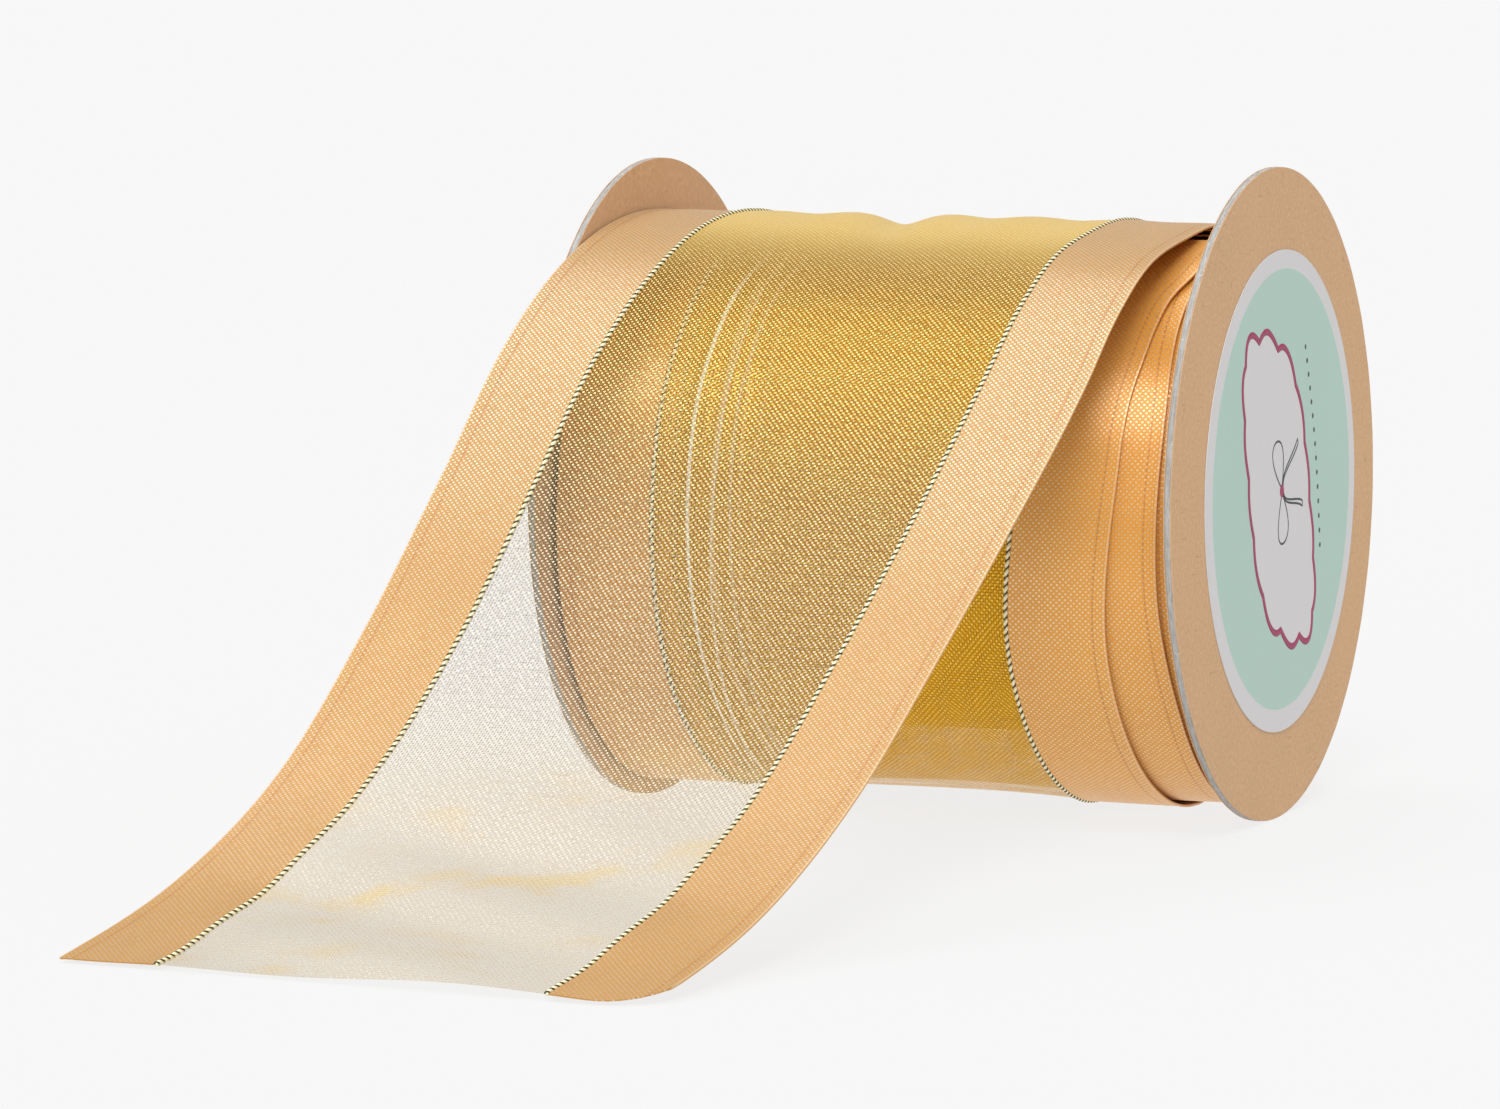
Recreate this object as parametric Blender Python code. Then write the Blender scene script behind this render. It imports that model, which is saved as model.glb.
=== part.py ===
"""Ribbon spool: two kraft-faced chipboard flanges on a paperboard core, wound with a wide ribbon.

The ribbon has a satin border on each side of a sheer organza centre, with a twisted gold cord
woven in at each join.  It is modelled as the tight roll on the core, two loose outer wraps, and
the free end, which leaves the top of the roll and drapes down to the surface in front.

Lengths in the constants below are millimetres; MM turns them into Blender's metres.
Every piece is drawn about the middle of the spool's axle, with X along the axle.
"""

import math

import bmesh
import bpy
from mathutils import Matrix, Vector

MM = 0.001

# Flanges: a grey board with a kraft paper liner glued on each side.
FLANGE_RADIUS = 50.0
FLANGE_THICKNESS = 1.2
LINER_THICKNESS = 0.12
LINER_SETBACK = 0.1
PLY_GAP = 0.04
SPINDLE_HOLE_RADIUS = 12.5
OVERALL_WIDTH = 102.9

# Core tube, and what holds it and the ribbon's inner end.
CORE_OUTER_RADIUS = 26.0
CORE_INNER_RADIUS = 24.0
CORE_END_GAP = 0.1
GLUE_SIZE = 1.2
GLUE_CLEARANCE = 0.08
TAPE_LENGTH = 40.0
TAPE_ARC = math.radians(50.0)
TAPE_THICKNESS = 0.08

# Paper label on the right flange, stuck a little off centre.
LABEL_RADIUS = 37.0
LABEL_THICKNESS = 0.12
LABEL_OFFSET_Y = 2.55
LABEL_OFFSET_Z = 0.26

# Ribbon across its width: satin, cord, organza, cord, satin.
SATIN_WIDTH = 15.2
CORD_DIAMETER = 0.7
WEAVE_GAP = 0.25
RIBBON_THICKNESS = 0.4
BORDER = SATIN_WIDTH + 2 * WEAVE_GAP + CORD_DIAMETER

# Tight roll of many layers.
ROLL_INNER_RADIUS = 26.4
ROLL_OUTER_RADIUS = 38.6
ROLL_HALF_WIDTH = 49.4
ROLL_SATIN_WIDTH = 16.3

# Loose wraps: one spiral round a line below the axle, because the slack turns rest on top of the
# roll and hang under it. They hang lower at the right than at the left.
WRAP_RADIUS = 44.9
WRAP_PITCH = 0.9
WRAP_END = math.radians(348.0)
WRAP_DROP = 3.4
WRAP_TILT = 0.8
# Places of the wraps' two edges along the axle, at some angles from the top, going over the back.
OUTER_WRAP_EDGES = (
    (0, -49.8, 42.9),
    (90, -49.6, 41.4),
    (188, -49.3, 39.0),
    (245, -49.3, 38.3),
    (292, -49.0, 41.0),
    (318, -48.2, 42.8),
    (336, -47.0, 46.0),
    (348, -46.0, 47.6),
)
INNER_WRAP_EDGES = (
    (0, -45.4, 47.8),
    (90, -45.4, 47.6),
    (190, -45.4, 47.4),
    (230, -45.4, 47.7),
    (262, -46.0, 46.8),
    (292, -46.2, 47.0),
    (320, -46.6, 45.9),
    (348, -46.4, 46.4),
)
TAKE_OFF_HEIGHT = WRAP_RADIUS - WRAP_DROP
LEFT_TAKE_OFF_HEIGHT = TAKE_OFF_HEIGHT + WRAP_TILT / 2
RIGHT_TAKE_OFF_HEIGHT = TAKE_OFF_HEIGHT - WRAP_TILT / 2

# Free end: its two edges from the top of the roll to the surface in front.
LEFT_EDGE = (
    (-49.8, 0.0, LEFT_TAKE_OFF_HEIGHT),
    (-49.9, -15.1, 41.6),
    (-49.9, -29.9, 38.9),
    (-50.7, -44.3, 33.4),
    (-51.3, -57.6, 26.0),
    (-52.6, -80.9, 6.6),
    (-54.6, -104.0, -13.5),
    (-56.8, -129.2, -30.7),
    (-60.0, -157.5, -42.4),
    (-63.5, -187.3, -49.5),
)
RIGHT_EDGE = (
    (42.9, 0.0, RIGHT_TAKE_OFF_HEIGHT),
    (42.8, -16.1, 40.1),
    (42.2, -31.3, 37.3),
    (41.8, -45.5, 30.6),
    (41.6, -58.8, 21.9),
    (40.1, -85.5, 4.3),
    (38.0, -112.0, -13.2),
    (35.6, -139.1, -29.4),
    (32.3, -168.0, -42.0),
    (28.7, -198.4, -49.5),
)
# The free end's solids start this far down its length, clear of the outer wrap.
FREE_END_START = 0.004

# Facets.
FLANGE_SEGMENTS = 64
ROLL_SEGMENTS = 48
WRAP_STEPS = 36
FREE_END_STEPS = 26
CORD_RING_SIDES = 5

OUTER_FACE = OVERALL_WIDTH / 2
INNER_FACE = OUTER_FACE - FLANGE_THICKNESS

COLOURS = {
    "kraft": (0.61, 0.38, 0.19, 0.85, 0.0),
    "chipboard": (0.40, 0.39, 0.37, 0.95, 0.0),
    "core_board": (0.47, 0.42, 0.35, 0.9, 0.0),
    "glue": (0.80, 0.72, 0.52, 0.45, 0.0),
    "tape": (0.85, 0.83, 0.75, 0.2, 0.0),
    "label": (0.39, 0.61, 0.51, 0.6, 0.0),
    "satin": (0.78, 0.46, 0.21, 0.35, 0.0),
    "organza": (0.66, 0.42, 0.12, 0.45, 0.1),
    "gold_cord": (0.80, 0.62, 0.22, 0.3, 0.8),
}


def clear_scene():
    for obj in list(bpy.data.objects):
        bpy.data.objects.remove(obj, do_unlink=True)


def make_material(name):
    red, green, blue, roughness, metallic = COLOURS[name]
    material = bpy.data.materials.new(name)
    material.use_nodes = True
    shader = material.node_tree.nodes["Principled BSDF"]
    shader.inputs["Base Color"].default_value = (red, green, blue, 1.0)
    shader.inputs["Roughness"].default_value = roughness
    shader.inputs["Metallic"].default_value = metallic
    return material


def material_of(name):
    return bpy.data.materials.get(name) or make_material(name)


def add_object(name, data, material, parent):
    obj = bpy.data.objects.new(name, data)
    data.materials.append(material_of(material))
    bpy.context.scene.collection.objects.link(obj)
    obj.parent = parent
    return obj


def add_empty(name, parent=None, place=(0.0, 0.0, 0.0)):
    empty = bpy.data.objects.new(name, None)
    bpy.context.scene.collection.objects.link(empty)
    empty.parent = parent
    empty.location = Vector(place) * MM
    return empty


def mesh_from(bm, name, sharp_angle=math.radians(30)):
    bmesh.ops.recalc_face_normals(bm, faces=bm.faces)
    mesh = bpy.data.meshes.new(name)
    bm.to_mesh(mesh)
    bm.free()
    mesh.shade_smooth()
    mesh.set_sharp_from_angle(angle=sharp_angle)
    return mesh


def turned_ring(name, outline, segments, material, parent):
    """A ring about the axle, from a closed outline of (x, radius) points."""
    bm = bmesh.new()
    verts = [bm.verts.new(Vector((x, 0.0, radius)) * MM) for x, radius in outline]
    edges = [bm.edges.new((verts[i - 1], verts[i])) for i in range(len(verts))]
    bmesh.ops.spin(
        bm,
        geom=verts + edges,
        cent=(0.0, 0.0, 0.0),
        axis=(1.0, 0.0, 0.0),
        angle=math.tau,
        steps=segments,
        use_merge=True,
    )
    return add_object(name, mesh_from(bm, name), material, parent)


def flat_ring(name, x_low, x_high, inner, outer, segments, material, parent):
    outline = ((x_low, inner), (x_low, outer), (x_high, outer), (x_high, inner))
    return turned_ring(name, outline, segments, material, parent)


def edge_places(table, angle):
    """The two edges of a wrap at an angle, eased between the places in its table."""
    degrees = math.degrees(angle)
    for low, high in zip(table, table[1:]):
        if degrees <= high[0]:
            share = (degrees - low[0]) / (high[0] - low[0])
            eased = share * share * (3.0 - 2.0 * share)
            return tuple(low[i] + (high[i] - low[i]) * eased for i in (1, 2))
    return table[-1][1], table[-1][2]


def smooth_through(points, share):
    """A point on the Catmull-Rom curve through the points, with share from 0 to 1."""
    last = len(points) - 1
    place = min(max(share, 0.0), 1.0) * last
    index = min(int(place), last - 1)
    t = place - index
    p1 = Vector(points[index])
    p2 = Vector(points[index + 1])
    p0 = Vector(points[index - 1]) if index > 0 else 2 * p1 - p2
    p3 = Vector(points[index + 2]) if index + 2 <= last else 2 * p2 - p1
    slope = (p2 - p0) * t
    bend = (2 * p0 - 5 * p1 + 4 * p2 - p3) * t**2
    twist = (3 * p1 - p0 - 3 * p2 + p3) * t**3
    return p1 + (slope + bend + twist) / 2


def strip_spans(width):
    """Where each woven part lies across a ribbon of this width, measured from its left edge."""
    cord_centre = SATIN_WIDTH + WEAVE_GAP + CORD_DIAMETER / 2
    return {
        "satin_left": (0.0, SATIN_WIDTH),
        "organza": (BORDER, width - BORDER),
        "satin_right": (width - SATIN_WIDTH, width),
        "gold_cord_left": (cord_centre,),
        "gold_cord_right": (width - cord_centre,),
    }


def add_thickness(obj):
    solidify = obj.modifiers.new("ribbon_thickness", "SOLIDIFY")
    solidify.thickness = RIBBON_THICKNESS * MM
    solidify.offset = 0.0


def cloth_strip(name, rows, material, parent):
    """A thin closed strip from rows of points, each row running across the strip."""
    bm = bmesh.new()
    grid = [[bm.verts.new(point * MM) for point in row] for row in rows]
    for low, high in zip(grid, grid[1:]):
        for i in range(len(low) - 1):
            bm.faces.new((low[i], low[i + 1], high[i + 1], high[i]))
    mesh = bpy.data.meshes.new(name)
    bm.to_mesh(mesh)
    bm.free()
    mesh.shade_smooth()
    obj = add_object(name, mesh, material, parent)
    add_thickness(obj)
    return obj


def cord_tube(name, points, parent):
    curve = bpy.data.curves.new(name, "CURVE")
    curve.dimensions = "3D"
    curve.bevel_depth = CORD_DIAMETER / 2 * MM
    curve.bevel_resolution = 1
    curve.use_fill_caps = True
    spline = curve.splines.new("POLY")
    spline.points.add(len(points) - 1)
    for target, point in zip(spline.points, points):
        target.co = (*(point * MM), 1.0)
    return add_object(name, curve, "gold_cord", parent)


def build_ribbon(prefix, place, width_at, steps, across, parent):
    """All five woven parts of one stretch of ribbon.

    place(share, across_mm) is a point of the ribbon and width_at(share) its width there, with
    share running from 0 to 1 along the stretch.
    """
    shares = [step / steps for step in range(steps + 1)]
    for part, count in across.items():
        rows = []
        for share in shares:
            low, high = strip_spans(width_at(share))[part]
            spots = [low + (high - low) * i / count for i in range(count + 1)]
            rows.append([place(share, spot) for spot in spots])
        cloth_strip(f"{prefix}_{part}", rows, part.split("_")[0], parent)
    for part in ("gold_cord_left", "gold_cord_right"):
        points = [place(share, strip_spans(width_at(share))[part][0]) for share in shares]
        cord_tube(f"{prefix}_{part}", points, parent)


def build_wrap(prefix, turn, table, parent):
    """One loose turn of ribbon; turn counts the turns inwards from the take-off."""

    def wrap_width(share):
        left, right = edge_places(table, share * WRAP_END)
        return right - left

    def wrap_place(share, across_mm):
        angle = share * WRAP_END
        left, right = edge_places(table, angle)
        radius = WRAP_RADIUS - WRAP_PITCH * (turn + angle / math.tau)
        tilt = WRAP_TILT * (0.5 - across_mm / (right - left))
        z = radius * math.cos(angle) - WRAP_DROP + tilt
        return Vector((left + across_mm, radius * math.sin(angle), z))

    across = {"satin_left": 1, "organza": 1, "satin_right": 1}
    build_ribbon(prefix, wrap_place, wrap_width, WRAP_STEPS, across, parent)


def build_free_end(parent):
    """The ribbon that drapes from the top of the roll; the parent sits on its lifting axis."""
    hinge = Vector((0.0, 0.0, TAKE_OFF_HEIGHT))

    def along(share):
        return FREE_END_START + (1.0 - FREE_END_START) * share

    def edges(share):
        return (
            smooth_through(LEFT_EDGE, along(share)),
            smooth_through(RIGHT_EDGE, along(share)),
        )

    def end_width(share):
        left, right = edges(share)
        return (right - left).length

    def end_place(share, across_mm):
        left, right = edges(share)
        return left + (right - left).normalized() * across_mm - hinge

    across = {"satin_left": 1, "organza": 3, "satin_right": 1}
    build_ribbon("free_end", end_place, end_width, FREE_END_STEPS, across, parent)


def build_flange(side, sign, parent):
    """A flange of three plies: the outer liner, the board and the inner liner."""

    def ply(name, outward, thickness, outer, material):
        high = OUTER_FACE - outward
        low = high - thickness
        ends = sorted((sign * low, sign * high))
        flat_ring(
            name, *ends, SPINDLE_HOLE_RADIUS, outer, FLANGE_SEGMENTS, material, parent
        )

    board_thickness = FLANGE_THICKNESS - 2 * (LINER_THICKNESS + PLY_GAP)
    liner_radius = FLANGE_RADIUS - LINER_SETBACK
    inner_liner_depth = FLANGE_THICKNESS - LINER_THICKNESS
    ply(f"{side}_flange_outer_liner", 0.0, LINER_THICKNESS, liner_radius, "kraft")
    ply(
        f"{side}_flange_board",
        LINER_THICKNESS + PLY_GAP,
        board_thickness,
        FLANGE_RADIUS,
        "chipboard",
    )
    ply(
        f"{side}_flange_inner_liner",
        inner_liner_depth,
        LINER_THICKNESS,
        liner_radius,
        "kraft",
    )


def build_glue(side, sign, parent):
    """The bead of glue in the corner between the core tube and a flange."""
    root = CORE_OUTER_RADIUS + GLUE_CLEARANCE
    face = INNER_FACE - GLUE_CLEARANCE
    depth = INNER_FACE - ROLL_HALF_WIDTH - 2 * GLUE_CLEARANCE
    outline = (
        (sign * face, root),
        (sign * face, root + GLUE_SIZE),
        (sign * (face - depth), root),
    )
    turned_ring(f"{side}_core_glue", outline, ROLL_SEGMENTS, "glue", parent)


def build_core(parent):
    half = INNER_FACE - CORE_END_GAP
    flat_ring(
        "core_tube",
        -half,
        half,
        CORE_INNER_RADIUS,
        CORE_OUTER_RADIUS,
        ROLL_SEGMENTS,
        "core_board",
        parent,
    )
    build_glue("left", -1, parent)
    build_glue("right", 1, parent)


def build_start_tape(parent):
    """The tape that holds the ribbon's inner end to the core, between the core and the roll."""
    radius = (CORE_OUTER_RADIUS + ROLL_INNER_RADIUS) / 2
    steps = 8
    rows = []
    for step in range(steps + 1):
        angle = TAPE_ARC * (step / steps - 0.5)
        spots = (-TAPE_LENGTH / 2, TAPE_LENGTH / 2)
        rows.append(
            [Vector((x, radius * math.sin(angle), radius * math.cos(angle))) for x in spots]
        )
    tape = cloth_strip("start_tape", rows, "tape", parent)
    tape.modifiers["ribbon_thickness"].thickness = TAPE_THICKNESS * MM


def build_label(parent):
    """The round paper sticker over the right flange's spindle hole."""
    bm = bmesh.new()
    middle = OUTER_FACE + PLY_GAP + LABEL_THICKNESS / 2
    centre = Vector((middle, LABEL_OFFSET_Y, LABEL_OFFSET_Z)) * MM
    bmesh.ops.create_cone(
        bm,
        cap_ends=True,
        segments=FLANGE_SEGMENTS,
        radius1=LABEL_RADIUS * MM,
        radius2=LABEL_RADIUS * MM,
        depth=LABEL_THICKNESS * MM,
        matrix=Matrix.Translation(centre) @ Matrix.Rotation(math.pi / 2, 4, "Y"),
    )
    add_object("label_sticker", mesh_from(bm, "label_sticker"), "label", parent)


def build_roll(parent):
    """The tight roll: the stacked satin borders, the organza and the two rings of gold cord."""
    satin_inside = ROLL_HALF_WIDTH - ROLL_SATIN_WIDTH
    cord_centre = satin_inside - WEAVE_GAP - CORD_DIAMETER / 2
    organza_half = cord_centre - CORD_DIAMETER / 2 - WEAVE_GAP
    spans = {
        "wound_satin_left": (-ROLL_HALF_WIDTH, -satin_inside, "satin"),
        "wound_organza": (-organza_half, organza_half, "organza"),
        "wound_satin_right": (satin_inside, ROLL_HALF_WIDTH, "satin"),
    }
    for name, (low, high, material) in spans.items():
        flat_ring(
            name,
            low,
            high,
            ROLL_INNER_RADIUS,
            ROLL_OUTER_RADIUS,
            ROLL_SEGMENTS,
            material,
            parent,
        )
    for side, sign in (("left", -1), ("right", 1)):
        outline = []
        for corner in range(CORD_RING_SIDES):
            turn = math.tau * corner / CORD_RING_SIDES
            x = sign * cord_centre + CORD_DIAMETER / 2 * math.cos(turn)
            radius = ROLL_OUTER_RADIUS + CORD_DIAMETER / 2 * (math.sin(turn) - 1.0)
            outline.append((x, radius))
        name = f"wound_gold_cord_{side}"
        turned_ring(name, outline, ROLL_SEGMENTS, "gold_cord", parent)


def world_points(obj, graph):
    """The corners of an object's finished mesh, in world space."""
    shape = obj.evaluated_get(graph)
    points = [shape.matrix_world @ vertex.co for vertex in shape.to_mesh().vertices]
    shape.to_mesh_clear()
    return points


def centre_on_footprint(carrier):
    """Moves the assembly so that its box is centred on the origin, standing on z = 0."""
    graph = bpy.context.evaluated_depsgraph_get()
    points = []
    for obj in bpy.context.scene.objects:
        if obj.type != "EMPTY":
            points += world_points(obj, graph)
    for axis in (0, 1):
        low = min(point[axis] for point in points)
        high = max(point[axis] for point in points)
        carrier.location[axis] = -(low + high) / 2
    carrier.location.z = FLANGE_RADIUS * MM
    bpy.context.view_layer.update()


def main():
    clear_scene()
    ribbon = add_empty("ribbon_carrier")
    spool = add_empty("spool_axis", ribbon)
    free_end = add_empty("free_end_axis", ribbon, (0.0, 0.0, TAKE_OFF_HEIGHT))
    for side, sign in (("left", -1), ("right", 1)):
        build_flange(side, sign, spool)
    build_core(spool)
    build_start_tape(spool)
    build_label(spool)
    build_roll(spool)
    build_wrap("outer_wrap", 0, OUTER_WRAP_EDGES, ribbon)
    build_wrap("inner_wrap", 1, INNER_WRAP_EDGES, ribbon)
    build_free_end(free_end)
    bpy.context.view_layer.update()
    centre_on_footprint(ribbon)


main()
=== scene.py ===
"""Looks of the ribbon spool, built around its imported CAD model.

Shapes are worked out in millimetres about the middle of the spool's axle, with X along the axle
towards the label and -Y towards the free end, and are then placed in the row's frame.
"""

import math

import bmesh
import bpy
import numpy as np
from mathutils import Matrix, Vector


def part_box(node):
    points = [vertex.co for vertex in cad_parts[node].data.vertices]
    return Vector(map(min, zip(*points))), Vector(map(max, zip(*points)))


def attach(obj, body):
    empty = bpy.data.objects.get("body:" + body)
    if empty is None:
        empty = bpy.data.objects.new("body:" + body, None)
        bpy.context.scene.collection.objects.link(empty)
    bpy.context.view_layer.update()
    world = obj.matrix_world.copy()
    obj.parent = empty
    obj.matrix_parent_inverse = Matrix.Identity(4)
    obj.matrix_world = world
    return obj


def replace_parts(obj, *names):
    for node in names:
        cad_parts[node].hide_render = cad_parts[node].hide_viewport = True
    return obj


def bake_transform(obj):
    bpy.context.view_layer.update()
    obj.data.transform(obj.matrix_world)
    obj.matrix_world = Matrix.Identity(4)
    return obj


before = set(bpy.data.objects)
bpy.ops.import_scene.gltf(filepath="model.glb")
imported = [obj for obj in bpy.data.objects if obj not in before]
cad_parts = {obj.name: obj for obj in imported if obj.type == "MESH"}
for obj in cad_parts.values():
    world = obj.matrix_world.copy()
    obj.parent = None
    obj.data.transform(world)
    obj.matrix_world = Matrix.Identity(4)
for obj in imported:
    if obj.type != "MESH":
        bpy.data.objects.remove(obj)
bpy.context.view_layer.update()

MM = 0.001

# The spool, read from the frame.
LEFT_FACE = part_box("left_flange_outer_liner")[0].x
RIGHT_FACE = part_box("right_flange_outer_liner")[1].x
BOARD_LOW, BOARD_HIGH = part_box("right_flange_board")
BOARD_MIDDLE = (BOARD_LOW + BOARD_HIGH) / 2
AXLE = Vector(((LEFT_FACE + RIGHT_FACE) / 2, BOARD_MIDDLE.y, BOARD_MIDDLE.z))
OUTER_FACE = (RIGHT_FACE - LEFT_FACE) / 2 / MM
FLANGE_RADIUS = (BOARD_HIGH.z - BOARD_LOW.z) / 2 / MM
FLANGE_THICKNESS = 1.2
LINER_THICKNESS = 0.13
SPINDLE_HOLE_RADIUS = 12.5
INNER_FACE = OUTER_FACE - FLANGE_THICKNESS

# Ribbon, across its width.
SATIN_WIDTH = 15.3
CORD_RADIUS = 0.42
STRAND_SHARES = (0.72, 0.42)
CORD_CENTRE = SATIN_WIDTH + 0.35
ORGANZA_START = CORD_CENTRE + 0.2
SATIN_HALF_THICKNESS = 0.11
RIBBON_WIDTH = 93.0

# Roll and loose wraps. The slack wraps rest on top of the roll and hang under it.
ROLL_RADIUS = 38.6
ROLL_INNER_RADIUS = 26.4
ROLL_HALF_WIDTH = 49.4
ROLL_SATIN_WIDTH = 16.3
CORE_OUTER_RADIUS = 26.0
CORE_INNER_RADIUS = 24.0
SPIRAL_PITCH = 62.0
WRAP_RADIUS = 44.9
WRAP_PITCH = 0.9
WRAP_DROP = 3.4
WRAP_TILT = 0.8
# Angles from the top, going over the back, with the places of both edges along the axle.
OUTER_WRAP_EDGES = (
    (0, -49.8, 42.9),
    (90, -49.6, 41.4),
    (188, -49.3, 39.0),
    (245, -49.3, 38.3),
    (292, -49.0, 41.0),
    (318, -48.2, 42.8),
    (336, -47.0, 46.0),
    (348, -46.0, 47.6),
)
INNER_WRAP_EDGES = (
    (0, -45.4, 47.8),
    (90, -45.4, 47.6),
    (190, -45.4, 47.4),
    (230, -45.4, 47.7),
    (262, -46.0, 46.8),
    (292, -46.2, 47.0),
    (320, -46.6, 45.9),
    (348, -46.4, 46.4),
)
# The next turn under the loose wraps, of which only the right border shows.
NEXT_TURN_EDGES = (
    (0, -46.6, 49.3),
    (90, -46.6, 49.3),
    (190, -46.6, 49.2),
    (262, -46.6, 49.0),
    (300, -46.6, 48.8),
    (348, -46.6, 49.3),
)
TAKE_OFF_HEIGHT = WRAP_RADIUS - WRAP_DROP
LEFT_EDGE = (
    (-49.8, 0.0, TAKE_OFF_HEIGHT + WRAP_TILT / 2),
    (-49.9, -15.1, 41.6),
    (-49.9, -29.9, 38.9),
    (-50.7, -44.3, 33.4),
    (-51.3, -57.6, 26.0),
    (-52.6, -80.9, 6.6),
    (-54.6, -104.0, -13.5),
    (-56.8, -129.2, -30.7),
    (-60.0, -157.5, -42.4),
    (-63.5, -187.3, -49.5),
)
RIGHT_EDGE = (
    (42.9, 0.0, TAKE_OFF_HEIGHT - WRAP_TILT / 2),
    (42.8, -16.1, 40.1),
    (42.2, -31.3, 37.3),
    (41.8, -45.5, 30.6),
    (41.6, -58.8, 21.9),
    (40.1, -85.5, 4.3),
    (38.0, -112.0, -13.2),
    (35.6, -139.1, -29.4),
    (32.3, -168.0, -42.0),
    (28.7, -198.4, -49.5),
)

# Weave, and the points that stand for it: along each stretch, across the sheer cloth, and along
# one turn and round each strand of a cord.
THREAD_PITCH = 0.46
SHEER_PITCH_ALONG = 0.5
CORD_TWIST_PITCH = 1.3
STITCH_INSET = 2.0
FREE_END_STEPS = 230
NEXT_TURN_STEPS = 120
ORGANZA_STEPS = 110
CORD_DETAIL = (7, 6)
INNER_CORD_DETAIL = (6, 5)

# The cloth's own place along the ribbon at the top of the roll. It grows towards the cut end.
CLOTH_TOP = 500.0
# How far before the free end the next turn starts.
NEXT_TURN_BEFORE = 670.0

# The cut end: a rounded right corner, and soft ridges across it, given as a place along from the
# top of the roll, a half width and a strength.
CORNER_RADIUS = 9.0
RIDGES = ((176.0, 8.0, 1.3), (150.0, 12.0, 0.9), (200.0, 9.0, 0.8))

# Lengthwise pleats of a crowded wrap: place across, height and half width.
PLEATS = ((22.5, 1.3, 1.1), (25.6, 0.75, 0.8), (29.2, 0.5, 0.9))

# Studio. Each light has a name, the direction it comes from, a strength and a spread in degrees.
WORLD_LIGHT = 0.52
SOFTBOXES = (
    ("top_softbox", (-0.3, 0.2, 0.93), 1.25, 44),
    ("high_softbox", (0.25, -0.60, 0.73), 1.75, 24),
    ("front_softbox", (0.12, -0.90, 0.40), 0.6, 40),
)
FLOOR_GREY = 0.09
FLOOR_GLOW = 0.8095
FLOOR_HALF = 12.0

# Camera, in degrees and metres, with its lens in millimetres and what it aims at from the axle.
CAMERA_ANGLES = (21.63, 6.17, -0.5)
CAMERA_DISTANCE = 1.2977
CAMERA_LENS = 198.6
CAMERA_AIM = (-0.03504, 0.0, -0.012)

# Label: a paper disc with thin prints one above the other.
PAPER_GAP = 0.04
PAPER_THICKNESS = 0.12
PRINT_THICKNESS = 0.012
LABEL_RADIUS = 37.0
LABEL_OFFSET_Y = 2.55
LABEL_OFFSET_Z = 0.26
MINT_RADIUS = 33.8
PLAQUE_HALF_WIDTH = 15.2
PLAQUE_HALF_HEIGHT = 23.2
PLAQUE_SQUARENESS = 3.2
PLAQUE_SCALLOPS = 14
PLAQUE_OFFSET_Y = -1.2
PLAQUE_LEAN = 12.8
PLAQUE_SLANT = 11.2
DOTS = 15
DOT_SPACING = 2.3


def place(points):
    """Millimetres about the axle to metres in the row's frame."""
    return np.asarray(points, float) * MM + np.array(AXLE)


# ---------------------------------------------------------------- curves and surfaces


def spline_through(points):
    """A smooth curve through the points: a function of length along it, and its whole length."""
    points = np.array(points, float)
    steps = np.linalg.norm(np.diff(points, axis=0), axis=1)
    knots = np.concatenate([[0.0], np.cumsum(steps)])
    chords = np.diff(points, axis=0) / steps[:, None]
    slopes = np.empty_like(points)
    weights = steps[1:] / (steps[1:] + steps[:-1])
    slopes[1:-1] = chords[:-1] * weights[:, None] + chords[1:] * (1 - weights)[:, None]
    slopes[0] = 1.5 * chords[0] - 0.5 * slopes[1]
    slopes[-1] = 1.5 * chords[-1] - 0.5 * slopes[-2]

    def at(length):
        length = np.clip(length, 0.0, knots[-1])
        index = np.clip(np.searchsorted(knots, length, side="right") - 1, 0, len(steps) - 1)
        step = steps[index]
        t = ((length - knots[index]) / step)[:, None]
        step = step[:, None]
        return (
            (2 * t**3 - 3 * t**2 + 1) * points[index]
            + (t**3 - 2 * t**2 + t) * step * slopes[index]
            + (3 * t**2 - 2 * t**3) * points[index + 1]
            + (t**3 - t**2) * step * slopes[index + 1]
        )

    return at, knots[-1]


def ease(low, high, value):
    t = np.clip((value - low) / (high - low), 0.0, 1.0)
    return t * t * (3 - 2 * t)


def wrap_edges(table, degrees):
    """The left and right edges of a wrap along the axle, at angles from the top over the back."""
    knots = np.array([row[0] for row in table], float)
    index = np.clip(np.searchsorted(knots, degrees, side="right") - 1, 0, len(table) - 2)
    low = np.array(table, float)[index]
    high = np.array(table, float)[index + 1]
    share = ease(low[:, 0], high[:, 0], degrees)[:, None]
    places = low + (high - low) * share
    return places[:, 1], places[:, 2]


def wrap_points(turn, table, degrees):
    left, right = wrap_edges(table, degrees)
    angle = np.radians(degrees)
    radius = WRAP_RADIUS - WRAP_PITCH * (turn + angle / math.tau)
    y = radius * np.sin(angle)
    z = radius * np.cos(angle) - WRAP_DROP
    tilt = WRAP_TILT / 2
    return np.stack([left, y, z + tilt], 1), np.stack([right, y, z - tilt], 1)


def free_end_edges():
    """Both edges from under the roll, up over its back to the top, and down to the free end."""
    degrees = np.arange(180.0, 10.0, -15.0)
    left, right = wrap_points(0, OUTER_WRAP_EDGES, degrees)
    return np.vstack([left, LEFT_EDGE]), np.vstack([right, RIGHT_EDGE])


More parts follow.
